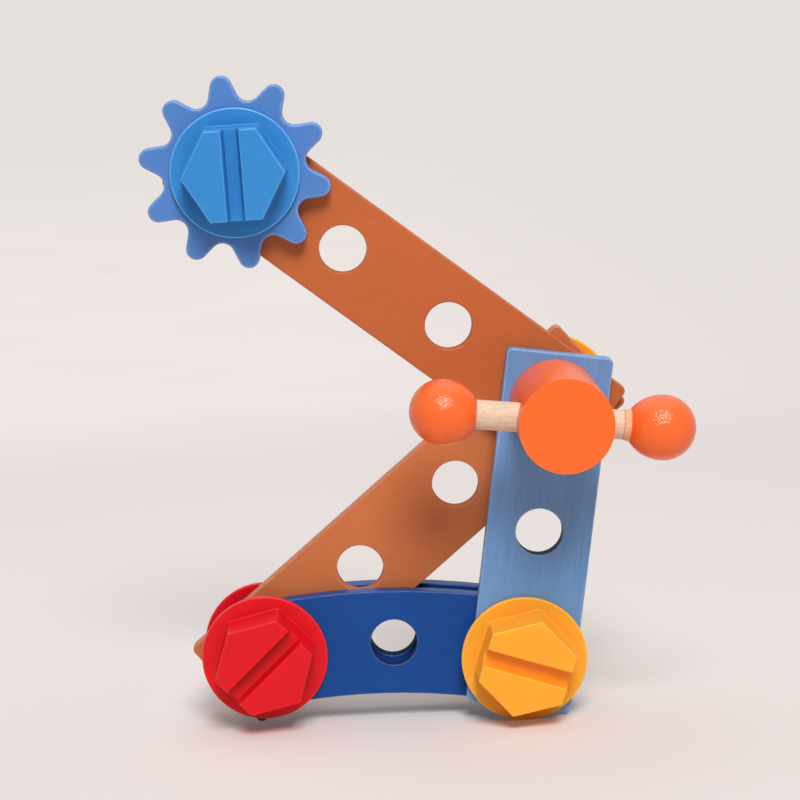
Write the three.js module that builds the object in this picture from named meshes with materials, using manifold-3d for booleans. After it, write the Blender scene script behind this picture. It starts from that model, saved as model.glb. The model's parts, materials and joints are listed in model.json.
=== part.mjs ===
// Wooden crank gear toy: painted plates joined by slotted bolts and nuts, with a gear on a
// swinging arm and a T-shaped crank that turns a wooden screw.
//
// Millimetres, +Z up. The plates stand parallel to the XZ plane, Y is their depth, and the toy is
// looked at along +Y. The origin is on the floor, under the middle of the whole toy.

import * as THREE from 'three';
import { mergeVertices } from 'three/addons/utils/BufferGeometryUtils.js';
import Module from 'manifold-3d';

const wasm = await Module();
wasm.setup();

// Plates
const holePitch = 44;
const holeRadius = 8;
const plateThickness = 6;
const plateWidth = 36;
const plateCornerRadius = 2;
const armEnd = 18;
const strutEnd = 18.5;
const uprightEnd = 17.4;
const armHoles = 4;
const strutHoles = 4;
const uprightHoles = 3;

// Curved plates: straight distance between their end holes, and how far the middle hole is raised
const arcChord = 88.6;
const arcRise = 4.3;

// Faces that lie on each other, and every cut
const seatGap = 0.15;
const overrun = 1;

// Gear
const toothCount = 10;
const gearTipRadius = 32.1;
const gearRootRadius = 23.8;
const toothTipRound = 3.5;
const toothFlankAngle = THREE.MathUtils.degToRad(18);

// Bolts and nuts: heads and nuts have six sides
const headSides = 6;
const flangeRadius = 21.5;
const flangeThickness = 2;
const headCornerRadius = 17.1;
const headDraft = 0.45;
const headHeight = 13.7;
const slotWidth = 5.8;
const slotDepth = 4.2;
const nutHeight = 13.7;
const threadRadius = 7.6;
const threadDepth = 1;
const threadLead = 4;
const threadClearance = 0.25;
const threadEngagement = 13.5;
const spareTurns = 2;

// Thread section in one lead: place along it and height, from the root to the crest
const threadSectionShares = [[0, 0], [0.3, 0], [0.5, 1], [0.8, 1]];

// Crank
const crankHeadRadius = 15.4;
const crankHeadLength = 44.5;
const barHeight = 32.2;
const barRadius = 5;
const barHoleClearance = 0.35;
const ballRadius = 10.8;
const ballFaceRadius = 5.9;
const ballDrawOut = 1.6;
const ballSpacing = 71.7;
const barShift = -3.6;
const barSocketClearance = 0.3;
const barSocketDepth = 12;

// The arm rises about as steeply as the strut falls, less this much
const armLag = THREE.MathUtils.degToRad(0.5);

// Directions seen from the front, anticlockwise from the line between the red and yellow bolts
const crankBarTurn = THREE.MathUtils.degToRad(-4.8);
const gearBoltTurn = THREE.MathUtils.degToRad(93.6);
const redBoltTurn = THREE.MathUtils.degToRad(45);
const yellowBoltTurn = THREE.MathUtils.degToRad(-16.7);
const gearTurn = THREE.MathUtils.degToRad(26.5);
const gearNutTurn = THREE.MathUtils.degToRad(12);
const redNutTurn = THREE.MathUtils.degToRad(-20);
const yellowNutTurn = THREE.MathUtils.degToRad(25);
const crankNutTurn = THREE.MathUtils.degToRad(8);

// Facets
const holeSides = 32;
const cornerSteps = 4;
const arcSteps = 16;
const endSteps = 14;
const flangeSides = 56;
const crankSides = 40;
const barSides = 24;
const ballSteps = 10;
const ballSides = 24;
const threadSides = 18;
const tipSteps = 6;
const rootSteps = 4;

// Layers of plates, from the front
const layers = { upright: 0, gear: 0, arm: 1, frontArc: 1, strut: 2, rearArc: 3 };
const layerPitch = plateThickness + seatGap;
const quarterTurn = Math.PI / 2;
const fullTurn = 2 * Math.PI;

const colours = {
  brown: 0xc1643a,
  darkBlue: 0x1f4a8e,
  lightBlue: 0x709bc8,
  gearBlue: 0x5887cd,
  boltBlue: 0x3b8cd2,
  red: 0xe4212b,
  yellow: 0xffa832,
  orange: 0xff6e2d,
  beech: 0xebcdaa,
};

const paintedWood = (color) => new THREE.MeshStandardMaterial({ color, roughness: 0.45, metalness: 0 });
const bareWood = (color) => new THREE.MeshStandardMaterial({ color, roughness: 0.7, metalness: 0 });
const plastic = (color) => new THREE.MeshStandardMaterial({ color, roughness: 0.35, metalness: 0 });

// Solids and meshes

function solidOf(geometry) {
  const bare = geometry.clone();
  for (const name of Object.keys(bare.attributes)) {
    if (name !== 'position') bare.deleteAttribute(name);
  }
  const merged = mergeVertices(bare);
  return new wasm.Manifold(new wasm.Mesh({
    numProp: 3,
    vertProperties: new Float32Array(merged.attributes.position.array),
    triVerts: new Uint32Array(merged.index.array),
  }));
}

function geometryOf(solid) {
  const { vertProperties, triVerts } = solid.getMesh();
  const geometry = new THREE.BufferGeometry();
  geometry.setAttribute('position', new THREE.BufferAttribute(vertProperties, 3));
  geometry.setIndex(new THREE.BufferAttribute(triVerts, 1));
  geometry.computeVertexNormals();
  return geometry;
}

function named(name, geometry, material) {
  const mesh = new THREE.Mesh(geometry, material);
  mesh.name = name;
  return mesh;
}

// A group whose local X axis points along the given direction, anticlockwise as seen from the front
function placed(place, turn, ...children) {
  const group = new THREE.Group();
  group.position.set(place.x, 0, place.y);
  group.rotation.y = -turn;
  group.add(...children);
  return group;
}

// A point in the plane of the plates, by distance and direction
function polar(distance, turn) {
  return new THREE.Vector2(distance * Math.cos(turn), distance * Math.sin(turn));
}

function arcPoints(centre, radius, from, to, steps) {
  const points = [];
  for (let step = 0; step <= steps; step += 1) {
    points.push(polar(radius, from + ((to - from) * step) / steps).add(centre));
  }
  return points;
}

function circlePoints(centre, radius, sides) {
  return arcPoints(centre, radius, 0, fullTurn, sides).slice(0, -1);
}

function layerFront(layer) {
  return layer * layerPitch;
}

// A flat piece cut from board: the outline's x stays x, its y becomes z, and it reaches from
// frontY back by its thickness
function board(outline, holes, frontY, thickness) {
  const shape = new THREE.Shape(outline);
  shape.holes = holes.map((hole) => new THREE.Path(hole));
  const geometry = new THREE.ExtrudeGeometry(shape, { depth: thickness, bevelEnabled: false });
  return geometry.rotateX(quarterTurn).translate(0, frontY + thickness, 0);
}

// A round or six-sided block between two depths, its radius given at each
function block(radius, frontY, backY, sides, backRadius = radius) {
  const geometry = new THREE.CylinderGeometry(backRadius, radius, backY - frontY, sides);
  return geometry.translate(0, (frontY + backY) / 2, 0);
}

// Straight plate: its first hole is the local origin and its row of holes runs along x
function straightPlate(holes, end, layer) {
  const length = (holes - 1) * holePitch;
  const halfWidth = plateWidth / 2;
  const inset = plateCornerRadius;
  const corners = [
    [length + end - inset, halfWidth - inset, 0],
    [inset - end, halfWidth - inset, quarterTurn],
    [inset - end, inset - halfWidth, 2 * quarterTurn],
    [length + end - inset, inset - halfWidth, 3 * quarterTurn],
  ];
  const outline = corners.flatMap(([x, y, turn]) => (
    arcPoints(new THREE.Vector2(x, y), inset, turn, turn + quarterTurn, cornerSteps)
  ));
  const bores = [];
  for (let hole = 0; hole < holes; hole += 1) {
    bores.push(circlePoints(new THREE.Vector2(hole * holePitch, 0), holeRadius, holeSides));
  }
  return board(outline, bores, layerFront(layer), plateThickness);
}

// Curved plate: its left hole is the local origin, its right hole lies on x, its ends are round
function curvedPlate(layer) {
  const bendRadius = ((arcChord / 2) ** 2 + arcRise ** 2) / (2 * arcRise);
  const bendCentre = new THREE.Vector2(arcChord / 2, arcRise - bendRadius);
  const halfTurn = Math.asin(arcChord / 2 / bendRadius);
  const halfWidth = plateWidth / 2;
  const left = new THREE.Vector2(0, 0);
  const right = new THREE.Vector2(arcChord, 0);
  const middle = new THREE.Vector2(arcChord / 2, arcRise);
  const leftSide = quarterTurn + halfTurn;
  const rightSide = quarterTurn - halfTurn;
  const outline = [
    ...arcPoints(bendCentre, bendRadius + halfWidth, leftSide, rightSide, arcSteps),
    ...arcPoints(right, halfWidth, rightSide, rightSide - 2 * quarterTurn, endSteps).slice(1, -1),
    ...arcPoints(bendCentre, bendRadius - halfWidth, rightSide, leftSide, arcSteps),
    ...arcPoints(left, halfWidth, leftSide - 2 * quarterTurn, leftSide - fullTurn, endSteps).slice(1, -1),
  ];
  const bores = [left, middle, right].map((hole) => circlePoints(hole, holeRadius, holeSides));
  return board(outline, bores, layerFront(layer), plateThickness);
}

// Gear: round tooth tips and roots joined by straight flanks, first tooth along x
function gearGeometry(layer) {
  const toothPitch = fullTurn / toothCount;
  const tipCentre = gearTipRadius - toothTipRound;
  const rootSine = Math.sin(toothPitch / 2 + toothFlankAngle);
  const flankReach = tipCentre * Math.sin(toothFlankAngle) + toothTipRound;
  const rootRound = (gearRootRadius * rootSine - flankReach) / (1 - rootSine);
  const rootCentre = gearRootRadius + rootRound;
  const tipSweep = quarterTurn - toothFlankAngle;
  const rootSweep = quarterTurn - toothFlankAngle - toothPitch / 2;
  const outline = [];
  for (let tooth = 0; tooth < toothCount; tooth += 1) {
    const turn = tooth * toothPitch;
    const rootTurn = turn + toothPitch / 2;
    const rootFrom = rootTurn + 2 * quarterTurn + rootSweep;
    const rootTo = rootTurn + 2 * quarterTurn - rootSweep;
    outline.push(
      ...arcPoints(polar(tipCentre, turn), toothTipRound, turn - tipSweep, turn + tipSweep, tipSteps),
      ...arcPoints(polar(rootCentre, rootTurn), rootRound, rootFrom, rootTo, rootSteps),
    );
  }
  const bore = circlePoints(new THREE.Vector2(0, 0), holeRadius, holeSides);
  return board(outline, [bore], layerFront(layer), plateThickness);
}

// Right-handed threaded rod along Y. Its thread keeps its place on Y, so a bolt and its nut cut
// from the same rod fit each other.
function threadedRod(crest, root, frontY, backY) {
  const firstTurn = Math.floor(frontY / threadLead) - spareTurns;
  const turns = Math.ceil(backY / threadLead) + spareTurns - firstTurn;
  const steps = turns * threadSides;
  const rowSize = threadSectionShares.length;
  const vertices = [];
  for (let step = 0; step <= steps + threadSides; step += 1) {
    const turn = (fullTurn * step) / threadSides;
    for (const [placeShare, heightShare] of threadSectionShares) {
      const radius = root + (crest - root) * heightShare;
      const y = threadLead * (firstTurn + step / threadSides + placeShare);
      vertices.push(radius * Math.sin(turn), y, radius * Math.cos(turn));
    }
  }
  const frontCentre = vertices.length / 3;
  vertices.push(0, threadLead * firstTurn, 0);
  const backCentre = frontCentre + 1;
  vertices.push(0, threadLead * (firstTurn + turns + 1), 0);

  const at = (step, row) => (row < rowSize ? step * rowSize + row : (step + threadSides) * rowSize);
  const faces = [];
  for (let step = 0; step < steps; step += 1) {
    for (let row = 0; row < rowSize; row += 1) {
      faces.push(at(step, row), at(step + 1, row), at(step + 1, row + 1));
      faces.push(at(step, row), at(step + 1, row + 1), at(step, row + 1));
    }
  }
  for (let row = 0; row < rowSize; row += 1) {
    faces.push(frontCentre, at(0, row), at(0, row + 1));
    faces.push(backCentre, at(steps, row + 1), at(steps, row));
  }
  for (let step = 0; step < threadSides; step += 1) {
    faces.push(frontCentre, at(step + 1, 0), at(step, 0));
    faces.push(backCentre, at(steps + step, 0), at(steps + step + 1, 0));
  }
  const used = [...new Set(faces)];
  const renumbered = new Map(used.map((vertex, index) => [vertex, index]));
  const kept = used.flatMap((vertex) => vertices.slice(3 * vertex, 3 * vertex + 3));
  const rod = new THREE.BufferGeometry();
  rod.setAttribute('position', new THREE.Float32BufferAttribute(kept, 3));
  rod.setIndex(faces.map((vertex) => renumbered.get(vertex)));
  const trim = block(crest + overrun, frontY, backY, threadSides);
  return solidOf(rod).intersect(solidOf(trim));
}

// Threaded shank behind a head: it starts inside the head and its tip is cut to a cone
function shank(length, rootY) {
  const crest = threadRadius;
  const root = threadRadius - threadDepth;
  const wide = crest + overrun;
  const cone = new THREE.LatheGeometry([
    new THREE.Vector2(0, rootY),
    new THREE.Vector2(wide, rootY),
    new THREE.Vector2(wide, length - (wide - root)),
    new THREE.Vector2(root, length),
    new THREE.Vector2(0, length),
  ], threadSides);
  return threadedRod(crest, root, rootY - overrun, length + overrun).intersect(solidOf(cone));
}

// Bolt: round flange, six-sided head with draft and a slot along x, and a shank behind. The seat
// of its flange is at y = -seatGap.
function boltGeometry(length) {
  const flangeFront = -seatGap - flangeThickness;
  const headFront = flangeFront - headHeight;
  const sunkY = flangeFront + flangeThickness / 2;
  const sunkRadius = headCornerRadius + (headDraft * (sunkY - headFront)) / headHeight;
  const slotLength = 2 * flangeRadius;
  const slotBox = new THREE.BoxGeometry(slotLength, slotDepth + overrun, slotWidth);
  slotBox.translate(0, headFront + (slotDepth - overrun) / 2, 0);
  return geometryOf(
    solidOf(block(flangeRadius, flangeFront, -seatGap, flangeSides))
      .add(solidOf(block(headCornerRadius, headFront, sunkY, headSides, sunkRadius)))
      .subtract(solidOf(slotBox))
      .add(shank(length, sunkY)),
  );
}

// Nut on the same shank: its flange seats at y = stack, its six sides are behind the flange, and
// the thread in it is cut where the bolt's thread lies
function nutGeometry(stack, turn) {
  const flangeBack = stack + flangeThickness;
  const nutBack = flangeBack + nutHeight;
  const sunkY = flangeBack - flangeThickness / 2;
  const sunkRadius = headCornerRadius + (headDraft * (nutBack - sunkY)) / nutHeight;
  const body = block(sunkRadius, sunkY, nutBack, headSides, headCornerRadius).rotateY(-turn);
  const crest = threadRadius + threadClearance;
  const root = crest - threadDepth;
  return geometryOf(
    solidOf(block(flangeRadius, stack, flangeBack, flangeSides))
      .add(solidOf(body))
      .subtract(threadedRod(crest, root, stack - overrun, nutBack + overrun)),
  );
}

// Crank screw: turned head with the cross hole along x, and a shank behind
function crankScrewGeometry(length) {
  const head = block(crankHeadRadius, -seatGap - crankHeadLength, -seatGap, crankSides);
  const holeLength = 2 * (crankHeadRadius + overrun);
  const hole = new THREE.CylinderGeometry(
    barRadius + barHoleClearance,
    barRadius + barHoleClearance,
    holeLength,
    barSides,
  );
  hole.rotateZ(quarterTurn).translate(0, -seatGap - barHeight, 0);
  const sunkY = -seatGap - (barHeight - barRadius) / 2;
  return geometryOf(
    solidOf(head)
      .subtract(solidOf(hole))
      .add(shank(length, sunkY)),
  );
}

// Each ball is drawn out a little on the side of the bar, which ends in a flat face
const ballFaceTurn = Math.asin(ballFaceRadius / ballRadius);
const ballFaceX = (ballRadius + ballDrawOut) * Math.cos(ballFaceTurn);

// Ball at the origin, with its flat face and the socket for the bar towards +x
function ballGeometry() {
  const socketRadius = barRadius + barSocketClearance;
  const profile = [];
  for (let step = 0; step <= ballSteps; step += 1) {
    const turn = ballFaceTurn + ((Math.PI - ballFaceTurn) * step) / ballSteps;
    const reach = turn < quarterTurn ? ballRadius + ballDrawOut : ballRadius;
    profile.push(new THREE.Vector2(ballRadius * Math.sin(turn), reach * Math.cos(turn)));
  }
  profile[ballSteps].x = 0;
  profile.push(
    new THREE.Vector2(0, ballFaceX - barSocketDepth),
    new THREE.Vector2(socketRadius, ballFaceX - barSocketDepth),
    new THREE.Vector2(socketRadius, ballFaceX),
    profile[0].clone(),
  );
  profile.reverse();
  return new THREE.LatheGeometry(profile, ballSides).rotateZ(-quarterTurn);
}

// Bar along x, its ends just clear of the bottoms of the balls' sockets
function barGeometry() {
  const length = ballSpacing - 2 * ballFaceX + 2 * (barSocketDepth - barSocketClearance);
  return new THREE.CylinderGeometry(barRadius, barRadius, length, barSides).rotateZ(quarterTurn);
}

// The crank's axis is the origin. The strut runs down to the red bolt and the upright down to the
// yellow bolt, and the curved plates close the triangle below.
const strutSpan = (strutHoles - 1) * holePitch;
const uprightSpan = (uprightHoles - 1) * holePitch;
const armSpan = (armHoles - 1) * holePitch;
const strutCosine = (strutSpan ** 2 + arcChord ** 2 - uprightSpan ** 2) / (2 * strutSpan * arcChord);
const strutTurn = Math.PI + Math.acos(strutCosine);
const crankAxis = new THREE.Vector2(0, 0);
const redAxis = polar(strutSpan, strutTurn);
const yellowAxis = redAxis.clone().add(new THREE.Vector2(arcChord, 0));
const uprightTurn = yellowAxis.angle();

// The toy stands on the strut's lower corner and on the rims of the yellow flanges, so the whole
// assembly turns until the line under both is level
const strutAlong = polar(1, strutTurn);
const strutAcross = polar(1, strutTurn + quarterTurn);
const footCentre = redAxis.clone()
  .addScaledVector(strutAlong, strutEnd - plateCornerRadius)
  .addScaledVector(strutAcross, plateWidth / 2 - plateCornerRadius);
const footToFlange = yellowAxis.clone().sub(footCentre);
const rimRise = Math.asin((flangeRadius - plateCornerRadius) / footToFlange.length());
const standTurn = rimRise - Math.atan2(footToFlange.y, footToFlange.x);

const armTurn = fullTurn - strutTurn - 2 * standTurn + armLag;
const gearAxis = polar(armSpan, armTurn);

// Back faces of the layers, and where the shanks that pass through them start
const armBack = layerFront(layers.arm) + layerPitch;
const strutBack = layerFront(layers.strut) + layerPitch;
const rearArcBack = layerFront(layers.rearArc) + layerPitch;
const redSeat = layerFront(layers.frontArc);

const gearMesh = named('gear', gearGeometry(layers.gear), paintedWood(colours.gearBlue));
const gearBolt = named('gear_bolt', boltGeometry(armBack + threadEngagement), plastic(colours.boltBlue));
const gearNut = named('gear_nut', nutGeometry(armBack, gearNutTurn), plastic(colours.boltBlue));

const redStack = rearArcBack - redSeat;
const redBolt = named('red_bolt', boltGeometry(redStack + threadEngagement), plastic(colours.red));
const redNut = named('red_nut', nutGeometry(redStack, redNutTurn), plastic(colours.red));
redBolt.position.y = redSeat;
redNut.position.y = redSeat;

const yellowBolt = named(
  'yellow_bolt',
  boltGeometry(rearArcBack + threadEngagement),
  plastic(colours.yellow),
);
const yellowNut = named('yellow_nut', nutGeometry(rearArcBack, yellowNutTurn), plastic(colours.yellow));

const crankScrew = named(
  'crank_screw',
  crankScrewGeometry(strutBack + threadEngagement),
  paintedWood(colours.orange),
);
const crankNut = named('crank_nut', nutGeometry(strutBack, crankNutTurn), plastic(colours.yellow));

const crankBar = named('crank_bar', barGeometry(), bareWood(colours.beech));
const leftBall = named('left_ball', ballGeometry(), paintedWood(colours.orange));
const rightBall = named('right_ball', ballGeometry(), paintedWood(colours.orange));
leftBall.position.x = -ballSpacing / 2;
rightBall.position.x = ballSpacing / 2;
rightBall.rotation.z = Math.PI;
const barAndBalls = new THREE.Group();
barAndBalls.add(crankBar, leftBall, rightBall);
barAndBalls.position.set(barShift, -seatGap - barHeight, 0);

const uprightPlate = named(
  'upright_plate',
  straightPlate(uprightHoles, uprightEnd, layers.upright),
  paintedWood(colours.lightBlue),
);
const armPlate = named(
  'arm_plate',
  straightPlate(armHoles, armEnd, layers.arm),
  paintedWood(colours.brown),
);
const strutPlate = named(
  'strut_plate',
  straightPlate(strutHoles, strutEnd, layers.strut),
  paintedWood(colours.brown),
);
const frontArc = named('front_arc_plate', curvedPlate(layers.frontArc), paintedWood(colours.darkBlue));
const rearArc = named('rear_arc_plate', curvedPlate(layers.rearArc), paintedWood(colours.darkBlue));

const assembly = new THREE.Group();
assembly.add(
  placed(crankAxis, uprightTurn, uprightPlate),
  placed(crankAxis, armTurn, armPlate),
  placed(crankAxis, strutTurn, strutPlate),
  placed(redAxis, 0, frontArc, rearArc),
  placed(gearAxis, gearTurn, gearMesh),
  placed(gearAxis, gearBoltTurn, gearBolt, gearNut),
  placed(redAxis, redBoltTurn, redBolt, redNut),
  placed(yellowAxis, yellowBoltTurn, yellowBolt, yellowNut),
  placed(crankAxis, crankBarTurn, crankScrew, crankNut, barAndBalls),
);

assembly.rotation.y = -standTurn;

const toy = new THREE.Group();
toy.add(assembly);
toy.updateMatrixWorld(true);
const extent = new THREE.Box3().setFromObject(toy, true);
const middle = extent.getCenter(new THREE.Vector3());
toy.position.set(-middle.x, -middle.y, -extent.min.z);

export default toy;
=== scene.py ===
"""Wooden crank gear toy: detailed pieces, materials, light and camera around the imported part."""

import json
import math

import bmesh
import bpy
from mathutils import Matrix, Vector
from mathutils.geometry import tessellate_polygon


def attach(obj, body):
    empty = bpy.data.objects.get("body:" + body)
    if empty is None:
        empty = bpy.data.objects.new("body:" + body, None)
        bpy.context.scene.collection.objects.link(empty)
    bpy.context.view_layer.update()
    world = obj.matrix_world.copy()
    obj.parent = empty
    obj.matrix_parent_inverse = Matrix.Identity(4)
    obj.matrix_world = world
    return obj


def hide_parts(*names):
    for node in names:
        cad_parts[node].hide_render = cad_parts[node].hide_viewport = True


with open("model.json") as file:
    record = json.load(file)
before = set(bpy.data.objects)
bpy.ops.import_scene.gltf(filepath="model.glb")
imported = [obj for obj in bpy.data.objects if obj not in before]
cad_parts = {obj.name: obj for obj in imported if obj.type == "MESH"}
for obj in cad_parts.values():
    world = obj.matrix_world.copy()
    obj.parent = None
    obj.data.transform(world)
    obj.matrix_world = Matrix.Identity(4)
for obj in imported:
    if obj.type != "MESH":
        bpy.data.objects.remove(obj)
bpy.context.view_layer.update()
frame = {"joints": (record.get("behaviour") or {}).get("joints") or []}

# Sizes in millimetres, as in the part
MM = 0.001
HOLE_PITCH = 44.0
HOLE_RADIUS = 8.0
BOARD = 6.0
BOARD_WIDTH = 36.0
BOARD_CORNER = 2.0
ARM_END = 18.0
STRUT_END = 18.5
UPRIGHT_END = 17.4
ARC_CHORD = 88.6
ARC_RISE = 4.3
SEAT_GAP = 0.15
LAYER_PITCH = BOARD + SEAT_GAP
TEETH = 10
GEAR_TIP_RADIUS = 32.02
GEAR_ROOT_RADIUS = 23.8
TOOTH_TIP_ROUND = 3.5
TOOTH_FLANK = math.radians(18)
FLANGE_RADIUS = 21.49
FLANGE_THICKNESS = 2.0
HEAD_CORNER_RADIUS = 17.1
HEAD_DRAFT = 0.45
HEAD_HEIGHT = 13.7
SLOT_WIDTH = 5.8
SLOT_FLOOR_WIDTH = 4.4
SLOT_DEPTH = 4.2
THREAD_RADIUS = 7.6
THREAD_DEPTH = 1.0
THREAD_LEAD = 4.0
THREAD_CLEARANCE = 0.25
THREAD_ENGAGEMENT = 13.5
THREAD_SECTION = ((0.0, 0.0), (0.3, 0.0), (0.5, 1.0), (0.8, 1.0))
CRANK_RADIUS = 15.4
CRANK_LENGTH = 44.5
BAR_HEIGHT = 32.2
BAR_RADIUS = 4.8
TENON_RADIUS = 4.55
LEFT_NECK = 10.75
RIGHT_NECK = 12.8
RIGHT_COLLAR = 10.75
MOUTH_ROOM = 0.05
MOUTH_BEVEL = 0.1
MOUTH_BAND = 0.12
BALL_OUTREACH = 12.35
BAR_HOLE_RADIUS = 5.35
BALL_RADIUS = 10.71
BALL_FACE_RADIUS = 5.9
BALL_SPACING = 71.7
BAR_SHIFT = -3.6
SOCKET_RADIUS = 4.6
SOCKET_DEPTH = 12.0
SOCKET_CLEARANCE = 0.3
OVERRUN = 1.0

# Roundings in millimetres: of the boards' outlines and holes, and of the turned and moulded pieces
BOARD_EDGE, BOARD_HOLE_EDGE = 0.55, 0.4
CURVED_EDGE, CURVED_HOLE_EDGE = 0.35, 0.3
GEAR_EDGE = 0.8
FLAT_BAND = 0.5
RIM_ROUND = 0.45
HEAD_ROUND = 0.42
HEAD_CORNER = 0.6
HEAD_FILLET = 0.8
HEAD_FOOT_BAND = 0.3
HEAD_FACE_BAND = 0.15
SLOT_LIP = 0.4
SLOT_FILLET = 0.3
CRANK_EDGE = 0.35
BAR_EDGE = 0.25

# How far each rounding counts as an edge that gets the paler edge colour: a painted highlight, and on
# painted wood also paint wear
BACK_RIM_MARK, FRONT_RIM_MARK = 0.6, 1.0
CORNER_MARK, FACE_EDGE_MARK = 0.15, 0.5

# Facets and angles
THREAD_SIDES = 36
CIRCLE_SIDES = 96
BORE_SIDES = 64
BAR_SIDES = 48
BALL_SIDES, BALL_STEPS = 64, 60
BOARD_CORNER_STEPS = 8
CURVE_STEPS = 40
TIP_STEPS, ROOT_STEPS = 14, 12
EDGE_STEPS = 5
ROUND_STEPS = 4
HEAD_SIDE_STEPS = 12
GEAR_TURN = math.radians(26.5)
RIDGE_ANGLE = 40
SHARP_ANGLE = 38
SPARE_TURNS = 2
TINY = 1e-6
QUARTER = math.pi / 2
SIXTH = math.pi / 3

# Size of the noise in materials, in cells per metre
PAINT_GRAIN, PAINT_BANDS, PAINT_CLOUDS, PAINT_CHIPS, PAINT_RIPPLE = 900, 140, 60, 600, 1900
PLASTIC_FLOW, PLASTIC_DULL, PLASTIC_SKIN = 40, 260, 1500
BEECH_GRAIN, BEECH_BANDS, BEECH_FLECKS = (240, 1100, 1100), (18, 260, 260), (700, 1700, 1700)
PAPER_GRAIN, PAPER_CLOUDS = 1800, 6


# Where the axes are: the part's own joints give them
joints = {joint["name"]: joint for joint in frame["joints"]}


def axis_of(name):
    x, _, z = joints[name]["pos_m"]
    return Vector((x / MM, z / MM))


crank_axis = axis_of("crank_turn")
gear_axis = axis_of("gear_spin")
red_axis = axis_of("red_bolt_turn")
yellow_axis = axis_of("yellow_bolt_turn")
FRONT_Y = joints["crank_turn"]["pos_m"][1] / MM


def direction(start, end):
    return math.atan2(end.y - start.y, end.x - start.x)


level_turn = direction(red_axis, yellow_axis)
bar_axis = joints["bar_slide"]["axis"]
bar_turn = math.atan2(bar_axis[2], bar_axis[0])


# Outlines in the plane of the boards

def arc(centre, radius, start, end, steps):
    turns = [start + (end - start) * step / steps for step in range(steps + 1)]
    return [Vector((centre[0] + radius * math.cos(a), centre[1] + radius * math.sin(a))) for a in turns]


def circle(centre, radius, sides=CIRCLE_SIDES):
    return arc(centre, radius, 0, 2 * math.pi, sides)[:-1]


def straight_outline(holes, end):
    length = (holes - 1) * HOLE_PITCH
    half = BOARD_WIDTH / 2
    corners = (
        (length + end - BOARD_CORNER, half - BOARD_CORNER, 0),
        (BOARD_CORNER - end, half - BOARD_CORNER, QUARTER),
        (BOARD_CORNER - end, BOARD_CORNER - half, 2 * QUARTER),
        (length + end - BOARD_CORNER, BOARD_CORNER - half, 3 * QUARTER),
    )

    def outline(inset):
        points = []
        for x, y, turn in corners:
            points += arc((x, y), BOARD_CORNER - inset, turn, turn + QUARTER, BOARD_CORNER_STEPS)
        return points

    return outline, [(hole * HOLE_PITCH, 0) for hole in range(holes)]


def curved_outline():
    bend = ((ARC_CHORD / 2) ** 2 + ARC_RISE ** 2) / (2 * ARC_RISE)
    centre = (ARC_CHORD / 2, ARC_RISE - bend)
    half_turn = math.asin(ARC_CHORD / 2 / bend)
    left, right = QUARTER + half_turn, QUARTER - half_turn
    half = BOARD_WIDTH / 2

    def outline(inset):
        reach = half - inset
        points = arc(centre, bend + reach, left, right, CURVE_STEPS)
        points += arc((ARC_CHORD, 0), reach, right, right - 2 * QUARTER, CURVE_STEPS)[1:-1]
        points += arc(centre, bend - reach, right, left, CURVE_STEPS)
        points += arc((0, 0), reach, left - 2 * QUARTER, left - 4 * QUARTER, CURVE_STEPS)[1:-1]
        return points

    return outline, [(0, 0), (ARC_CHORD / 2, ARC_RISE), (ARC_CHORD, 0)]


def gear_outline():
    pitch = 2 * math.pi / TEETH
    tip_centre = GEAR_TIP_RADIUS - TOOTH_TIP_ROUND
    root_sine = math.sin(pitch / 2 + TOOTH_FLANK)
    reach = tip_centre * math.sin(TOOTH_FLANK) + TOOTH_TIP_ROUND
    root_round = (GEAR_ROOT_RADIUS * root_sine - reach) / (1 - root_sine)
    root_centre = GEAR_ROOT_RADIUS + root_round
    tip_sweep = QUARTER - TOOTH_FLANK
    root_sweep = QUARTER - TOOTH_FLANK - pitch / 2

    def outline(inset):
        points = []
        for tooth in range(TEETH):
            turn = tooth * pitch
            root_turn = turn + pitch / 2
            tip = (tip_centre * math.cos(turn), tip_centre * math.sin(turn))
            root = (root_centre * math.cos(root_turn), root_centre * math.sin(root_turn))
            points += arc(tip, TOOTH_TIP_ROUND - inset, turn - tip_sweep, turn + tip_sweep, TIP_STEPS)
            inward = root_turn + math.pi
            points += arc(root, root_round + inset, inward + root_sweep, inward - root_sweep, ROOT_STEPS)
        return points

    return outline, [(0, 0)]


# Mesh building, in millimetres: x and z lie in the plane of the boards, y is depth

def new_object(name, bm):
    bmesh.ops.recalc_face_normals(bm, faces=bm.faces)
    mesh = bpy.data.meshes.new(name)
    bm.to_mesh(mesh)
    bm.free()
    obj = bpy.data.objects.new(name, mesh)
    bpy.context.scene.collection.objects.link(obj)
    return obj


def quarter_round(steps):
    """Sines and cosines from 0 to a quarter turn, for a rounding in equal steps."""
    turns = [QUARTER * step / steps for step in range(steps + 1)]
    return [(math.sin(turn), math.cos(turn)) for turn in turns]


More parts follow.
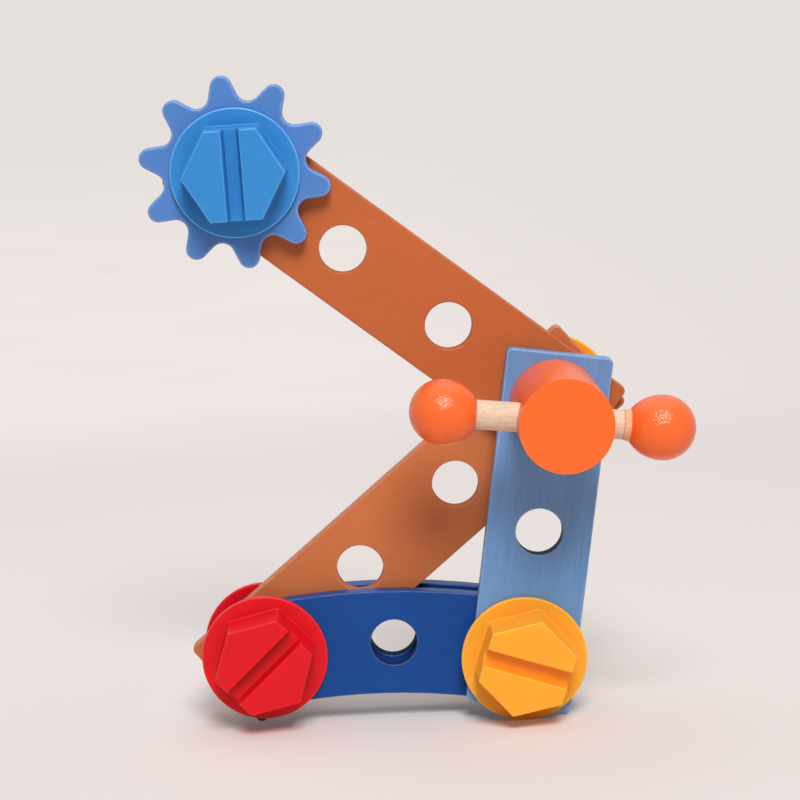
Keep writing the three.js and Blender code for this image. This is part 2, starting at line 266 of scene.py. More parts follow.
def board_mesh(name, shape, front, edge, hole_edge):
    """A board with rounded edges: rings of points follow the outline and the holes through its
    thickness, and the flat faces keep a narrow flat band beside each rounding. The walls of the holes
    are marked as bore."""
    outline, holes = shape
    contours = [(outline, edge)]
    for hole in holes:
        contours.append((lambda inset, hole=hole: circle(hole, HOLE_RADIUS + inset), hole_edge))
    bm = bmesh.new()
    bore = bm.verts.layers.float.new("bore")
    front_caps, back_caps = [], []
    for contour, radius in contours:
        profile = [(radius + FLAT_BAND, 0.0)]
        for sine, cosine in quarter_round(EDGE_STEPS):
            profile.append((radius * (1 - sine), radius * (1 - cosine)))
        profile += [(inset, BOARD - depth) for inset, depth in reversed(profile)]
        rings = []
        for inset, depth in profile:
            ring = [bm.verts.new((p.x, front + depth, p.y)) for p in contour(inset)]
            for vertex in ring:
                vertex[bore] = float(contour is not outline and inset < TINY)
            rings.append(ring)
        for ring, following in zip(rings, rings[1:]):
            for index in range(len(ring)):
                after = (index + 1) % len(ring)
                bm.faces.new((ring[index], ring[after], following[after], following[index]))
        front_caps.append(rings[0])
        back_caps.append(rings[-1])
    for caps in (front_caps, back_caps):
        points = [vertex for ring in caps for vertex in ring]
        flat = [[Vector((vertex.co.x, vertex.co.z, 0)) for vertex in ring] for ring in caps]
        for triangle in tessellate_polygon(flat):
            bm.faces.new([points[index] for index in triangle])
    return new_object(name, bm)


def lathe(name, profile, sides, axis="y"):
    """Turned solid from (radius, place along the axis) points that start and end on the axis."""
    bm = bmesh.new()
    rings = []
    for radius, along in profile:
        count = sides if radius > 0 else 1
        ring = []
        for index in range(count):
            turn = 2 * math.pi * index / sides
            a, b = radius * math.cos(turn), radius * math.sin(turn)
            ring.append(bm.verts.new((a, along, b) if axis == "y" else (along, a, b)))
        rings.append(ring)
    for ring, following in zip(rings, rings[1:]):
        for index in range(sides):
            after = (index + 1) % sides
            corners = [ring[index % len(ring)], ring[after % len(ring)],
                       following[after % len(following)], following[index % len(following)]]
            distinct = list(dict.fromkeys(corners))
            if len(distinct) > 2:
                bm.faces.new(distinct)
    return new_object(name, bm)


def threaded_rod(name, crest, root, front, back):
    """Right-handed thread about y. It keeps its place on y, so a bolt fits its nut."""
    first = math.floor(front / THREAD_LEAD) - SPARE_TURNS
    turns = math.ceil(back / THREAD_LEAD) + SPARE_TURNS - first
    steps = turns * THREAD_SIDES
    rows = len(THREAD_SECTION)
    bm = bmesh.new()
    grid = []
    for step in range(steps + THREAD_SIDES + 1):
        turn = 2 * math.pi * step / THREAD_SIDES
        line = []
        for place, height in THREAD_SECTION:
            radius = root + (crest - root) * height
            y = THREAD_LEAD * (first + step / THREAD_SIDES + place)
            line.append((radius * math.sin(turn), y, radius * math.cos(turn)))
        grid.append(line)
    verts = {}

    def at(step, row):
        key = (step, row) if row < rows else (step + THREAD_SIDES, 0)
        if key not in verts:
            verts[key] = bm.verts.new(grid[key[0]][key[1]])
        return verts[key]

    for step in range(steps):
        for row in range(rows):
            bm.faces.new((at(step, row), at(step + 1, row), at(step + 1, row + 1), at(step, row + 1)))
    front_centre = bm.verts.new((0, THREAD_LEAD * first, 0))
    back_centre = bm.verts.new((0, THREAD_LEAD * (first + turns + 1), 0))
    for row in range(rows):
        bm.faces.new((front_centre, at(0, row), at(0, row + 1)))
        bm.faces.new((back_centre, at(steps, row + 1), at(steps, row)))
    for step in range(THREAD_SIDES):
        bm.faces.new((front_centre, at(step + 1, 0), at(step, 0)))
        bm.faces.new((back_centre, at(steps + step, 0), at(steps + step + 1, 0)))
    rod = new_object(name, bm)
    reach = crest + OVERRUN
    outer = [(0, front), (reach, front), (reach, back), (0, back)]
    return combine(rod, lathe(name + "_trim", outer, THREAD_SIDES), "INTERSECT")


def settle(obj):
    """Applies the object's modifiers to its mesh."""
    graph = bpy.context.evaluated_depsgraph_get()
    mesh = bpy.data.meshes.new_from_object(obj.evaluated_get(graph))
    obj.modifiers.clear()
    obj.data = mesh
    return obj


def combine(obj, tool, operation):
    modifier = obj.modifiers.new("combine", "BOOLEAN")
    modifier.operation = operation
    modifier.solver = "EXACT"
    modifier.object = tool
    settle(obj)
    bpy.data.objects.remove(tool)
    return obj


def soften(obj, width):
    """Rounds the ridges and marks the faces of the roundings."""
    mesh = obj.data
    bm = bmesh.new()
    bm.from_mesh(mesh)
    ridges = []
    for edge in bm.edges:
        if len(edge.link_faces) == 2 and math.degrees(edge.calc_face_angle_signed(0.0)) > RIDGE_ANGLE:
            ridges.append(edge)
    bmesh.ops.bevel(bm, geom=ridges, offset=width, offset_type="OFFSET", segments=3, profile=0.5,
                    affect="EDGES", clamp_overlap=True, material=1)
    marks = bm.faces.layers.float.new("rounded")
    for face in bm.faces:
        face[marks] = float(face.material_index)
        face.material_index = 0
    bm.to_mesh(mesh)
    bm.free()
    return obj


def loft(name, rings):
    """A solid through rings of (points, depth, mark): the mark goes to the faces up to the next ring,
    as one number or one for each face. Fans close both ends."""
    bm = bmesh.new()
    marks = bm.faces.layers.float.new("rounded")
    loops = [[bm.verts.new((x, depth, z)) for x, z in points] for points, depth, _ in rings]
    count = len(loops[0])
    for (_, _, mark), ring, following in zip(rings, loops, loops[1:]):
        for index in range(count):
            after = (index + 1) % count
            face = bm.faces.new((ring[index], ring[after], following[after], following[index]))
            face[marks] = mark[index] if isinstance(mark, list) else mark
    for ring, depth in ((loops[0], rings[0][1]), (loops[-1], rings[-1][1])):
        centre = bm.verts.new((0, depth, 0))
        for index in range(count):
            bm.faces.new((centre, ring[index], ring[(index + 1) % count]))
    return new_object(name, bm)


def mark_edges(mesh, flat_angle=8, edge_angle=18):
    """Stores where the surface is a rounded edge, for paint wear and painted highlights on edges: from the
    marks of the roundings, or else from the angles in degrees between faces."""
    if "rounded" in mesh.attributes:
        source = mesh.attributes["rounded"]
        values = [item.value for item in source.data]
        mesh.attributes.remove(source)
        mesh.attributes.new("edge", "FLOAT", "FACE").data.foreach_set("value", values)
        return
    bm = bmesh.new()
    bm.from_mesh(mesh)
    values = []
    for vertex in bm.verts:
        sharpest = 0.0
        for edge in vertex.link_edges:
            if len(edge.link_faces) == 2:
                sharpest = max(sharpest, edge.calc_face_angle_signed(0.0))
        share = (math.degrees(sharpest) - flat_angle) / (edge_angle - flat_angle)
        values.append(min(1.0, max(0.0, share)))
    bm.free()
    mesh.attributes.new("edge", "FLOAT", "POINT").data.foreach_set("value", values)


def finish_piece(obj, node, body, materials, centre, turn, flat_normals=True):
    """Scales a piece to metres, keeps its own coordinates for the grain, gives it its material,
    and puts it where its node is."""
    mesh = obj.data
    mesh.materials.clear()
    for material in materials:
        mesh.materials.append(material)
    mark_edges(mesh)
    mesh.transform(Matrix.Scale(MM, 4))
    mesh.shade_smooth()
    if flat_normals:
        mesh.set_sharp_from_angle(angle=math.radians(SHARP_ANGLE))
        modifier = obj.modifiers.new("normals", "WEIGHTED_NORMAL")
        modifier.keep_sharp = True
        modifier.weight = 60
        mesh = settle(obj).data
    own = [value for vertex in mesh.vertices for value in vertex.co]
    mesh.attributes.new("place", "FLOAT_VECTOR", "POINT").data.foreach_set("vector", own)
    move = Matrix.Translation((centre.x * MM, FRONT_Y * MM, centre.y * MM))
    mesh.transform(move @ Matrix.Rotation(-turn, 4, "Y"))
    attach(obj, body)
    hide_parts(node)
    return obj


# Materials

class Shader:
    """A material with its nodes, built from the output backwards."""

    def __init__(self, name, place="place"):
        self.material = bpy.data.materials.new(name)
        self.material.use_nodes = True
        self.tree = self.material.node_tree
        self.tree.nodes.clear()
        if place:
            self.place = self.add("ShaderNodeAttribute", attribute_name=place).outputs["Vector"]
        else:
            self.place = self.add("ShaderNodeTexCoord").outputs["Object"]

    def add(self, kind, inputs=None, **settings):
        node = self.tree.nodes.new(kind)
        for key, value in settings.items():
            setattr(node, key, value)
        for key, value in (inputs or {}).items():
            if isinstance(value, bpy.types.NodeSocket):
                self.tree.links.new(value, node.inputs[key])
            else:
                node.inputs[key].default_value = value
        return node

    def math(self, operation, a, b):
        return self.add("ShaderNodeMath", {0: a, 1: b}, operation=operation).outputs[0]

    def noise(self, scale, detail=3.0, roughness=0.55, distortion=0.0, offset=(0, 0, 0)):
        """Noise stretched by a scale for each axis, in cells per metre."""
        mapping = self.add("ShaderNodeMapping", {"Vector": self.place, "Location": offset, "Scale": scale})
        return self.add("ShaderNodeTexNoise", {
            "Vector": mapping.outputs[0], "Scale": 1.0, "Detail": detail,
            "Roughness": roughness, "Distortion": distortion}).outputs["Fac"]

    def fit(self, value, low, high, to_low=0.0, to_high=1.0):
        return self.add("ShaderNodeMapRange", {
            "Value": value, "From Min": low, "From Max": high,
            "To Min": to_low, "To Max": to_high}).outputs[0]

    def mix(self, share, a, b):
        return self.add("ShaderNodeMix", {0: share, 6: a, 7: b}, data_type="RGBA").outputs[2]

    def edge(self):
        return self.add("ShaderNodeAttribute", attribute_name="edge").outputs["Fac"]

    def bump(self, height, strength, distance):
        return self.add("ShaderNodeBump", {
            "Height": height, "Strength": strength, "Distance": distance}).outputs["Normal"]

    def surface(self, colour, roughness, normal, **uniform):
        inputs = {"Base Color": colour, "Roughness": roughness, "Normal": normal}
        inputs.update({key.replace("_", " "): value for key, value in uniform.items()})
        shader = self.add("ShaderNodeBsdfPrincipled", inputs)
        self.add("ShaderNodeOutputMaterial", {"Surface": shader.outputs[0]})
        return self.material


def linear(red, green, blue):
    """Screen colour, 0 to 255, as a linear colour."""
    def channel(value):
        share = value / 255
        return share / 12.92 if share <= 0.04045 else ((share + 0.055) / 1.055) ** 2.4
    return (channel(red), channel(green), channel(blue), 1.0)


def shade(colour, factor):
    return tuple(min(1.0, value * factor) for value in colour[:3]) + (1.0,)


def painted_wood(name, colour, grain=0.5, stretch=12.0, roughness=0.4, edge_wear_and_highlight=0.4, specular=0.2,
                 turned=False, ripple=0.0, depth=0.00012, uneven=0.055, bore=1.0):
    """Paint over close-grained wood: the grain runs along x, or along y on a turned piece, and shows through
    as fine streaks. On the walls of the holes the colour is darkened by the factor bore, as painted shade,
    and the paint is rougher there."""
    s = Shader(name)
    along = (1, 1 / stretch, 1) if turned else (1 / stretch, 1, 1)
    close_cells = tuple(PAINT_GRAIN * share for share in along)
    fine = s.noise(close_cells, detail=4, roughness=0.6)
    broad = s.noise(tuple(PAINT_BANDS * share for share in along), detail=3, offset=(3, 1, 5))
    cloud = s.noise((PAINT_CLOUDS,) * 3, detail=3, offset=(7, 2, 1))
    streak = s.math("ADD", s.math("MULTIPLY", fine, 0.75), s.math("MULTIPLY", broad, 0.25))
    base = s.mix(s.fit(streak, 0.36, 0.64), shade(colour, 1 - 0.2 * grain), shade(colour, 1 + 0.2 * grain))
    base = s.mix(s.fit(cloud, 0.3, 0.7, 0.0, 0.7), base, shade(colour, 0.94))
    # The rounded edges get a paler colour in chips: partly wear of the paint, partly a painted highlight.
    chips = s.noise((PAINT_CHIPS,) * 3, detail=3, offset=(2, 9, 4))
    edge = s.math("MULTIPLY", s.edge(), s.fit(chips, 0.35, 0.65, 0.35, 1.0))
    pale = tuple(value + 0.3 * (1 - value) for value in shade(colour, 1.2)[:3]) + (1.0,)
    base = s.mix(s.math("MULTIPLY", edge, edge_wear_and_highlight), base, pale)
    skin = s.noise(close_cells, detail=2, offset=(1, 4, 8))
    rough = s.fit(skin, 0.3, 0.7, roughness - uneven, roughness + uneven)
    # Painted shade: the walls of the holes are darkened by the factor bore.
    bore_shade_mask = s.add("ShaderNodeAttribute", attribute_name="bore").outputs["Fac"]
    base = s.mix(bore_shade_mask, base, shade(colour, bore))
    rough = s.math("MAXIMUM", rough, s.math("MULTIPLY", bore_shade_mask, 0.9))
    wave = s.noise((PAINT_RIPPLE,) * 3, detail=1, offset=(6, 6, 6))
    relief = s.math("ADD", streak, s.math("MULTIPLY", wave, ripple))
    return s.surface(base, rough, s.bump(relief, 0.25, depth), Specular_IOR_Level=specular)


def moulded_plastic(name, colour, light, hollow_shade, spread, roughness=0.34, glow=0.35):
    """Moulded plastic with a soft skin, through which a little light spreads. The rounded edges get a paler
    colour as a painted highlight, and the hollows a darker, richer colour as painted shade."""
    s = Shader(name)
    flow = s.noise((PLASTIC_FLOW,) * 3, detail=3, distortion=0.6)
    base = s.mix(s.fit(flow, 0.3, 0.7), shade(colour, 0.96), shade(colour, 1.04))
    hollow = s.add("ShaderNodeAmbientOcclusion", {"Distance": 0.008}, samples=8).outputs["AO"]
    # Painted shade: the colour turns darker and richer where ambient occlusion finds a hollow.
    base = s.mix(s.fit(hollow, 0.25, 0.8), hollow_shade, base)
    # Painted highlight: the rounded edges take the paler colour given as light.
    base = s.mix(s.math("MULTIPLY", s.edge(), 0.8), base, light)
    skin = s.noise((PLASTIC_SKIN,) * 3, detail=2)
    dull = s.noise((PLASTIC_DULL,) * 3, detail=3, offset=(5, 5, 5))
    rough = s.fit(dull, 0.3, 0.7, roughness - 0.04, roughness + 0.05)
    return s.surface(base, rough, s.bump(skin, 0.12, 0.00004), Specular_IOR_Level=0.2,
                     Subsurface_Weight=glow, Subsurface_Radius=spread, Subsurface_Scale=0.004)


def bare_beech(name, colour):
    """Bare beech: pale, with close grain along x and short darker flecks."""
    s = Shader(name)
    fine = s.noise(BEECH_GRAIN, detail=3, roughness=0.6)
    broad = s.noise(BEECH_BANDS, detail=2, offset=(4, 4, 0))
    base = s.mix(s.fit(fine, 0.33, 0.67), shade(colour, 0.74), shade(colour, 1.14))
    base = s.mix(s.fit(broad, 0.4, 0.65, 0.0, 0.5), base, shade(colour, 0.82))
    flecks = s.noise(BEECH_FLECKS, detail=1, offset=(8, 3, 2))
    base = s.mix(s.fit(flecks, 0.54, 0.66, 0.0, 0.55), base, shade(colour, 0.5))
    # Painted highlight: the rounded edges are a little paler.
    base = s.mix(s.math("MULTIPLY", s.edge(), 0.4), base, shade(colour, 1.1))
    return s.surface(base, s.fit(fine, 0.3, 0.7, 0.55, 0.72), s.bump(fine, 0.35, 0.00012))


light_blue = painted_wood("light_blue_paint", linear(107, 150, 200), grain=0.65, stretch=20, bore=0.5)
brown = painted_wood("brown_paint", linear(190, 99, 53), grain=0.2, stretch=4, edge_wear_and_highlight=0.08)
warm_brown = painted_wood("warm_brown_paint", linear(195, 110, 64), grain=0.2, stretch=4, edge_wear_and_highlight=0.25)
dark_blue = painted_wood("dark_blue_paint", linear(14, 70, 143), grain=0.3, stretch=8, edge_wear_and_highlight=0.25, bore=0.35)
gear_blue = painted_wood("gear_blue_paint", linear(80, 128, 193), grain=0.2, edge_wear_and_highlight=0.45)
orange = painted_wood(
    "orange_paint", linear(250, 105, 36), grain=0.06, stretch=3, roughness=0.32, edge_wear_and_highlight=0.2, specular=0.28,
    turned=True, depth=0.00001, uneven=0.01)
ball_orange = painted_wood(
    "ball_orange_paint", linear(247, 104, 37), grain=0.06, stretch=1, roughness=0.13, specular=0.4,
    turned=True, ripple=6, depth=0.00014, uneven=0.01)
beech = bare_beech("beech", linear(221, 191, 165))
bare_end = bare_beech("bare_end", linear(243, 174, 133))
blue_plastic = moulded_plastic(
    "blue_plastic", linear(55, 137, 203), light=linear(108, 180, 232), hollow_shade=linear(28, 112, 182),
    spread=(0.15, 0.5, 1.0))
red_plastic = moulded_plastic(
    "red_plastic", linear(221, 18, 30), light=linear(234, 52, 56), hollow_shade=linear(190, 8, 16),
    spread=(1.0, 0.2, 0.2))
yellow_plastic = moulded_plastic(
    "yellow_plastic", linear(254, 173, 50), light=linear(255, 190, 80), hollow_shade=linear(255, 140, 24),
    spread=(1.0, 0.45, 0.1), glow=0.5)


# Boards

def layer(index):
    return index * LAYER_PITCH


def add_board(name, node, body, material, shape, centre, turn, index,
              edge=BOARD_EDGE, hole_edge=BOARD_HOLE_EDGE):
    obj = board_mesh(name, shape, layer(index), edge, hole_edge)
    return finish_piece(obj, node, body, [material], centre, turn, flat_normals=False)


add_board("upright_board", "upright_plate", "frame", light_blue,
          straight_outline(3, UPRIGHT_END), crank_axis, direction(crank_axis, yellow_axis), 0)
add_board("arm_board", "arm_plate", "arm", brown,
          straight_outline(4, ARM_END), crank_axis, direction(crank_axis, gear_axis), 1)
add_board("strut_board", "strut_plate", "frame", warm_brown,
          straight_outline(4, STRUT_END), crank_axis, direction(crank_axis, red_axis), 2)
add_board("front_curved_board", "front_arc_plate", "frame", dark_blue,
          curved_outline(), red_axis, level_turn, 1, CURVED_EDGE, CURVED_HOLE_EDGE)
add_board("rear_curved_board", "rear_arc_plate", "frame", dark_blue,
          curved_outline(), red_axis, level_turn, 3, CURVED_EDGE, CURVED_HOLE_EDGE)
add_board("toothed_wheel", "gear", "gear", gear_blue,
          gear_outline(), gear_axis, level_turn + GEAR_TURN, 0, GEAR_EDGE)


# Bolts and nuts

def rounded_hexagon(grow, turn):
    """Six-sided outline of a head with rounded corners, moved out by grow. Also tells which spans are
    corners."""
    reach = HEAD_CORNER_RADIUS - HEAD_CORNER / math.cos(SIXTH / 2)
    arcs = []
    for k in range(6):
        at = QUARTER + turn + k * SIXTH
        centre = (reach * math.cos(at), reach * math.sin(at))
        arcs.append(arc(centre, HEAD_CORNER + grow, at - SIXTH / 2, at + SIXTH / 2, ROUND_STEPS))
    points, corner = [], []
    for bend, following in zip(arcs, arcs[1:] + arcs[:1]):
        points += bend
        corner += [1.0] * ROUND_STEPS
        for step in range(1, HEAD_SIDE_STEPS):
            points.append(bend[-1].lerp(following[0], step / HEAD_SIDE_STEPS))
        corner += [0.0] * HEAD_SIDE_STEPS
    return [(point.x, point.y) for point in points], corner


def moulding(name, seat, away, turn=0.0):
    """Flange and six-sided block: the flange rests on seat and the block stands away from it, in front
    (away -1) or behind (away 1)."""
    outline, corner = rounded_hexagon(0.0, turn)
    angles = [math.atan2(z, x) for x, z in outline]

    def rim(inset):
        radius = FLANGE_RADIUS - inset
        return [(radius * math.cos(a), radius * math.sin(a)) for a in angles]

    def block(grow):
        return rounded_hexagon(grow, turn)[0]

    face = seat + away * FLANGE_THICKNESS
    top = face + away * HEAD_HEIGHT
    bends = quarter_round(ROUND_STEPS)
    rings = [(rim(2 * RIM_ROUND), seat, 0.0)]
    for sine, cosine in bends:
        rings.append((rim(RIM_ROUND * (1 - sine)), seat + away * RIM_ROUND * (1 - cosine), BACK_RIM_MARK))
    rings[-1] = rings[-1][:2] + (0.0,)
    for sine, cosine in bends:
        rings.append((rim(RIM_ROUND * (1 - cosine)), face - away * RIM_ROUND * (1 - sine), FRONT_RIM_MARK))
    rings[-1] = rings[-1][:2] + (0.0,)
    rings.append((rim(2 * RIM_ROUND), face, 0.0))
    rings.append((block(HEAD_DRAFT + HEAD_FILLET + HEAD_FOOT_BAND), face, 0.0))
    for sine, cosine in bends:
        foot = block(HEAD_DRAFT + HEAD_FILLET * (1 - sine))
        rings.append((foot, face + away * HEAD_FILLET * (1 - cosine), 0.0))
    rings[-1] = rings[-1][:2] + ([CORNER_MARK * mark for mark in corner],)
    for sine, cosine in bends:
        edge = block(-HEAD_ROUND * (1 - cosine))
        rings.append((edge, top - away * HEAD_ROUND * (1 - sine), FACE_EDGE_MARK))
    rings[-1] = rings[-1][:2] + (0.0,)
    rings.append((block(-HEAD_ROUND - HEAD_FACE_BAND), top, 0.0))
    return loft(name, rings)


def slot_cutter(name, top):
    """What the slot takes out: rounded lips at the face, sloping walls and filled floor corners."""
    half, floor_half = SLOT_WIDTH / 2, SLOT_FLOOR_WIDTH / 2
    just_outside = -0.01
    bends = quarter_round(ROUND_STEPS)
    side = [(half + SLOT_LIP, -OVERRUN), (half + SLOT_LIP, just_outside)]
    for sine, cosine in bends[1:]:
        side.append((half + SLOT_LIP * (1 - sine), SLOT_LIP * (1 - cosine)))
    for sine, cosine in bends:
        side.append((floor_half - SLOT_FILLET * (1 - cosine), SLOT_DEPTH - SLOT_FILLET * (1 - sine)))
    section = side + [(-across, depth) for across, depth in reversed(side)]
    bm = bmesh.new()
    marks = bm.faces.layers.float.new("rounded")
    ends = [[bm.verts.new((x, top + depth, across)) for across, depth in section]
            for x in (-FLANGE_RADIUS, FLANGE_RADIUS)]
    count = len(section)
    lips = range(1, 1 + ROUND_STEPS)
    for index in range(count):
        after = (index + 1) % count
        face = bm.faces.new((ends[0][index], ends[0][after], ends[1][after], ends[1][index]))
        face[marks] = FACE_EDGE_MARK if index in lips or count - 2 - index in lips else 0.0
    for end in ends:
        bm.faces.new(end)
    return new_object(name, bm)


def shank(name, length, root_y):
    root = THREAD_RADIUS - THREAD_DEPTH
    wide = THREAD_RADIUS + OVERRUN
    rod = threaded_rod(name, THREAD_RADIUS, root, root_y - OVERRUN, length + OVERRUN)
    outer = [(0, root_y), (wide, root_y), (wide, length - (wide - root)), (root, length), (0, length)]
    return combine(rod, lathe(name + "_cone", outer, THREAD_SIDES), "INTERSECT")


def bolt(name, length):
    obj = moulding(name, -SEAT_GAP, -1)
    top = -SEAT_GAP - FLANGE_THICKNESS - HEAD_HEIGHT
    combine(obj, slot_cutter(name + "_slot", top), "DIFFERENCE")
    return combine(obj, shank(name + "_shank", length, -SEAT_GAP - FLANGE_THICKNESS / 2), "UNION")


def nut(name, stack, turn):
    obj = moulding(name, stack, 1, turn)
    crest = THREAD_RADIUS + THREAD_CLEARANCE
    back = stack + FLANGE_THICKNESS + HEAD_HEIGHT
    rod = threaded_rod(name + "_bore", crest, crest - THREAD_DEPTH, stack - OVERRUN, back + OVERRUN)
    return combine(obj, rod, "DIFFERENCE")


arm_back, strut_back, rear_arc_back, red_seat = layer(2), layer(3), layer(4), layer(1)
red_stack = rear_arc_back - red_seat

turn = level_turn + math.radians(93.6)
piece = bolt("gear_bolt_moulding", arm_back + THREAD_ENGAGEMENT)
finish_piece(piece, "gear_bolt", "gear_bolt", [blue_plastic], gear_axis, turn)
piece = nut("gear_nut_moulding", arm_back, math.radians(12))
finish_piece(piece, "gear_nut", "gear_nut", [blue_plastic], gear_axis, turn)

turn = level_turn + math.radians(45)
piece = bolt("red_bolt_moulding", red_stack + THREAD_ENGAGEMENT)
piece.data.transform(Matrix.Translation((0, red_seat, 0)))
finish_piece(piece, "red_bolt", "red_bolt", [red_plastic], red_axis, turn)
piece = nut("red_nut_moulding", red_stack, math.radians(-20))
piece.data.transform(Matrix.Translation((0, red_seat, 0)))
finish_piece(piece, "red_nut", "red_nut", [red_plastic], red_axis, turn)

turn = level_turn + math.radians(-16.7)
piece = bolt("yellow_bolt_moulding", rear_arc_back + THREAD_ENGAGEMENT)
finish_piece(piece, "yellow_bolt", "yellow_bolt", [yellow_plastic], yellow_axis, turn)
piece = nut("yellow_nut_moulding", rear_arc_back, math.radians(25))
finish_piece(piece, "yellow_nut", "yellow_nut", [yellow_plastic], yellow_axis, turn)


# Crank

def rod_profile(radius, start, end):
    return [(0, start), (radius, start), (radius, end), (0, end)]


bar_y = -SEAT_GAP - BAR_HEIGHT
hole_reach = CRANK_RADIUS + OVERRUN
shank_root = -SEAT_GAP - (BAR_HEIGHT - BAR_RADIUS) / 2
crank_face = -SEAT_GAP - CRANK_LENGTH
head = lathe("crank_screw_turned", rod_profile(CRANK_RADIUS, crank_face, -SEAT_GAP), CIRCLE_SIDES)
hole = lathe("bar_hole", rod_profile(BAR_HOLE_RADIUS, -hole_reach, hole_reach), BORE_SIDES, "x")
hole.data.transform(Matrix.Translation((0, bar_y, 0)))
combine(head, hole, "DIFFERENCE")
soften(head, CRANK_EDGE)
combine(head, shank("crank_shank", strut_back + THREAD_ENGAGEMENT, shank_root), "UNION")
finish_piece(head, "crank_screw", "crank", [orange], crank_axis, bar_turn)
piece = nut("crank_nut_moulding", strut_back, math.radians(8))
finish_piece(piece, "crank_nut", "crank", [yellow_plastic], crank_axis, bar_turn)

ball_face = math.sqrt(BALL_RADIUS ** 2 - BALL_FACE_RADIUS ** 2)
end = BALL_SPACING / 2 - ball_face + SOCKET_DEPTH - SOCKET_CLEARANCE
left, right = LEFT_NECK - BALL_SPACING / 2, BALL_SPACING / 2 - RIGHT_NECK
bar = lathe("beech_bar", [
    (0, -end), (TENON_RADIUS, -end), (TENON_RADIUS, left),
    (BAR_RADIUS - BAR_EDGE, left), (BAR_RADIUS, left + BAR_EDGE),
    (BAR_RADIUS, right - BAR_EDGE), (BAR_RADIUS - BAR_EDGE, right),
    (TENON_RADIUS, right), (TENON_RADIUS, end), (0, end)], BAR_SIDES, "x")
bar.data.transform(Matrix.Translation((BAR_SHIFT, bar_y, 0)))
finish_piece(bar, "crank_bar", "bar", [beech], crank_axis, bar_turn)


def ball(name, node, place, facing, neck, collar):
    """A ball that runs out towards the bar. From the collar on, where there is one, it is bare wood."""
    mouth = BAR_RADIUS + MOUTH_ROOM
    profile = [(0, neck - SOCKET_DEPTH), (SOCKET_RADIUS, neck - SOCKET_DEPTH),
               (SOCKET_RADIUS, neck - MOUTH_BEVEL), (SOCKET_RADIUS + MOUTH_BEVEL, neck), (mouth, neck)]
    if collar < neck:
        profile.append((mouth + MOUTH_BEVEL, neck - MOUTH_BEVEL))
    start = math.acos(collar / BALL_OUTREACH)
    for step in range(BALL_STEPS):
        turn = start + (math.pi - start) * step / BALL_STEPS
        along = (BALL_OUTREACH if turn < QUARTER else BALL_RADIUS) * math.cos(turn)
        profile.append((BALL_RADIUS * math.sin(turn), along))
    profile.append((0, -BALL_RADIUS))
    obj = lathe(name, profile, BALL_SIDES, "x")
    bare = [int(polygon.center.x > min(collar, neck - MOUTH_BAND)) for polygon in obj.data.polygons]
    obj.data.transform(Matrix.Scale(facing, 4, (1, 0, 0)))
    if facing < 0:
        obj.data.flip_normals()
    obj.data.transform(Matrix.Translation((BAR_SHIFT + place, bar_y, 0)))
    finish_piece(obj, node, "bar", [ball_orange, bare_end], crank_axis, bar_turn)
    obj.data.polygons.foreach_set("material_index", bare)


ball("left_ball_knob", "left_ball", -BALL_SPACING / 2, 1, LEFT_NECK, LEFT_NECK)
ball("right_ball_knob", "right_ball", BALL_SPACING / 2, -1, RIGHT_NECK, RIGHT_COLLAR)


# Stage, light and camera

FLOOR_RADIUS = 9.0
FLOOR_RINGS, FLOOR_SIDES = 12, 64
PAPER = linear(233, 225, 222)
HORIZON = linear(229, 224, 220)
AMBIENT_COLOUR = (1.0, 0.99, 0.98, 1.0)
AMBIENT = 0.13
BOUNCE = 1.03
KEY_PLACE, KEY_SIZE, KEY_WATTS = (0.2, -2.08, 2.25), (1.2, 1.2), 80.0
TOP_PLACE, TOP_SIZE, TOP_WATTS = (0.0, 0.4, 1.8), (2.6, 2.6), 14.0
LIT_POINT = (0.0, 0.0, 0.11)
CAMERA_PLACE = (-0.0205859, -0.7934858, 0.2401874)
CAMERA_YAW, CAMERA_PITCH, CAMERA_ROLL = 1.0412, 9.109, -2.6688
FOCAL_PIXELS = 2402.48
IMAGE_PIXELS = 800
SENSOR = 36.0


def floor_mesh():
    """Level round floor of rings, close together near the object."""
    bm = bmesh.new()
    centre = bm.verts.new((0, 0, 0))
    rings = []
    for index in range(1, FLOOR_RINGS + 1):
        radius = FLOOR_RADIUS * (index / FLOOR_RINGS) ** 2
        turns = [2 * math.pi * k / FLOOR_SIDES for k in range(FLOOR_SIDES)]
        rings.append([bm.verts.new((radius * math.cos(turn), radius * math.sin(turn), 0)) for turn in turns])
    for k in range(FLOOR_SIDES):
        after = (k + 1) % FLOOR_SIDES
        bm.faces.new((centre, rings[0][k], rings[0][after]))
        for ring, following in zip(rings, rings[1:]):
            bm.faces.new((ring[k], following[k], following[after], ring[after]))
    return new_object("studio_floor", bm)


floor = floor_mesh()
s = Shader("studio_paper", place=None)
path = s.add("ShaderNodeLightPath")
shown = s.math("MAXIMUM", path.outputs["Is Camera Ray"], path.outputs["Is Glossy Ray"])
shown = s.math("MAXIMUM", shown, path.outputs["Is Transmission Ray"])
grain = s.noise((PAPER_GRAIN,) * 3, detail=2)
cloud = s.noise((PAPER_CLOUDS,) * 3, detail=2)
x, y, _ = s.add("ShaderNodeSeparateXYZ", {"Vector": s.place}).outputs
paper = s.mix(s.fit(y, -0.05, 0.15), PAPER, linear(239, 231, 228))
paper = s.mix(s.fit(grain, 0.3, 0.7, 0.0, 0.02), paper, linear(150, 140, 135))
paper = s.mix(shown, shade(PAPER, BOUNCE), paper)
far = s.add("ShaderNodeVectorMath", {0: s.place}, operation="LENGTH").outputs["Value"]
backdrop = s.mix(s.fit(x, -0.05, 0.3), linear(240, 232, 229), linear(229, 222, 219))
backdrop = s.mix(s.fit(far, 1.0, 4.0), backdrop, HORIZON)
backdrop = s.mix(s.fit(cloud, 0.35, 0.65, 0.0, 0.25), backdrop, linear(228, 221, 218))
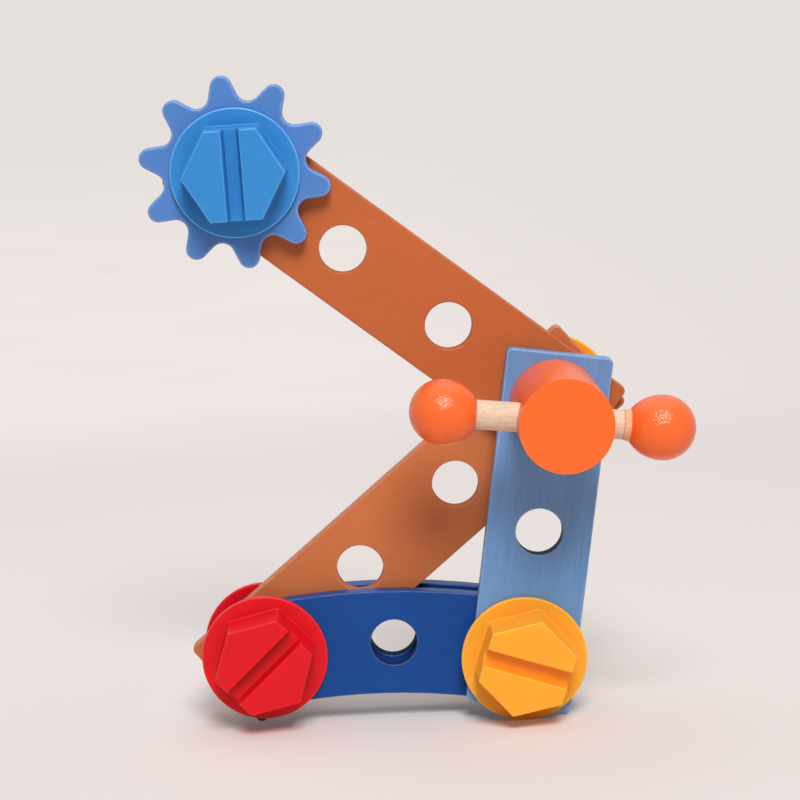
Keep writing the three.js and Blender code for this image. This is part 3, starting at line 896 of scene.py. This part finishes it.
diffuse = s.add("ShaderNodeBsdfPrincipled", {
    "Base Color": paper, "Roughness": s.fit(grain, 0.3, 0.7, 0.85, 0.95), "Specular IOR Level": 0.1,
    "Normal": s.bump(grain, 0.05, 0.0001)})
glow = s.add("ShaderNodeEmission", {"Color": backdrop, "Strength": 1.0})
share = s.add("ShaderNodeMapRange", {"Value": far, "From Min": 0.32, "From Max": 0.75},
              interpolation_type="SMOOTHSTEP").outputs[0]
# Painted light on the floor: near and behind the toy, part of the backdrop glow is mixed in for camera rays,
# which lightens the toy's shadows there.
shadow_lift = s.math("ADD", s.fit(y, 0.0, 0.035, 0.05, 0.24), s.fit(y, 0.035, 0.25, 0.0, 0.2))
share = s.math("MAXIMUM", share, shadow_lift)
blend = s.add("ShaderNodeMixShader", {0: s.math("MULTIPLY", share, shown), 1: diffuse.outputs[0],
                                      2: glow.outputs[0]})
s.add("ShaderNodeOutputMaterial", {"Surface": blend.outputs[0]})
floor.data.materials.append(s.material)

world = bpy.data.worlds.new("studio")
bpy.context.scene.world = world
world.use_nodes = True
nodes, links = world.node_tree.nodes, world.node_tree.links
nodes.clear()
ambient = nodes.new("ShaderNodeBackground")
ambient.inputs["Color"].default_value = AMBIENT_COLOUR
ambient.inputs["Strength"].default_value = AMBIENT
seen = nodes.new("ShaderNodeBackground")
seen.inputs["Color"].default_value = HORIZON
seen.inputs["Strength"].default_value = 1.0
path = nodes.new("ShaderNodeLightPath")
either, shown = nodes.new("ShaderNodeMath"), nodes.new("ShaderNodeMath")
either.operation = shown.operation = "MAXIMUM"
blend = nodes.new("ShaderNodeMixShader")
output = nodes.new("ShaderNodeOutputWorld")
links.new(path.outputs["Is Camera Ray"], either.inputs[0])
links.new(path.outputs["Is Glossy Ray"], either.inputs[1])
links.new(either.outputs[0], shown.inputs[0])
links.new(path.outputs["Is Transmission Ray"], shown.inputs[1])
links.new(shown.outputs[0], blend.inputs[0])
links.new(ambient.outputs[0], blend.inputs[1])
links.new(seen.outputs[0], blend.inputs[2])
links.new(blend.outputs[0], output.inputs[0])


def softbox(name, place, size, watts):
    lamp = bpy.data.lights.new(name, "AREA")
    lamp.shape = "ELLIPSE"
    lamp.size, lamp.size_y = size
    lamp.energy = watts
    obj = bpy.data.objects.new(name, lamp)
    obj.location = place
    obj.rotation_euler = (Vector(LIT_POINT) - Vector(place)).to_track_quat("-Z", "Y").to_euler()
    bpy.context.scene.collection.objects.link(obj)


softbox("key_softbox", KEY_PLACE, KEY_SIZE, KEY_WATTS)
softbox("top_softbox", TOP_PLACE, TOP_SIZE, TOP_WATTS)

yaw, pitch, roll = (math.radians(angle) for angle in (CAMERA_YAW, CAMERA_PITCH, CAMERA_ROLL))
forward = Vector((math.sin(yaw) * math.cos(pitch), math.cos(yaw) * math.cos(pitch), -math.sin(pitch)))
right = Vector((math.cos(yaw), -math.sin(yaw), 0.0))
up = right.cross(forward)
rolled_right = math.cos(roll) * right + math.sin(roll) * up
rolled_up = math.cos(roll) * up - math.sin(roll) * right
lens = bpy.data.cameras.new("camera")
lens.sensor_fit = "HORIZONTAL"
lens.sensor_width = SENSOR
lens.lens = FOCAL_PIXELS / IMAGE_PIXELS * SENSOR
camera = bpy.data.objects.new("camera", lens)
turned = Matrix((rolled_right, rolled_up, -forward)).transposed().to_4x4()
camera.matrix_world = Matrix.Translation(CAMERA_PLACE) @ turned
bpy.context.scene.collection.objects.link(camera)
bpy.context.scene.camera = camera
bpy.context.scene.view_settings.view_transform = "Standard"
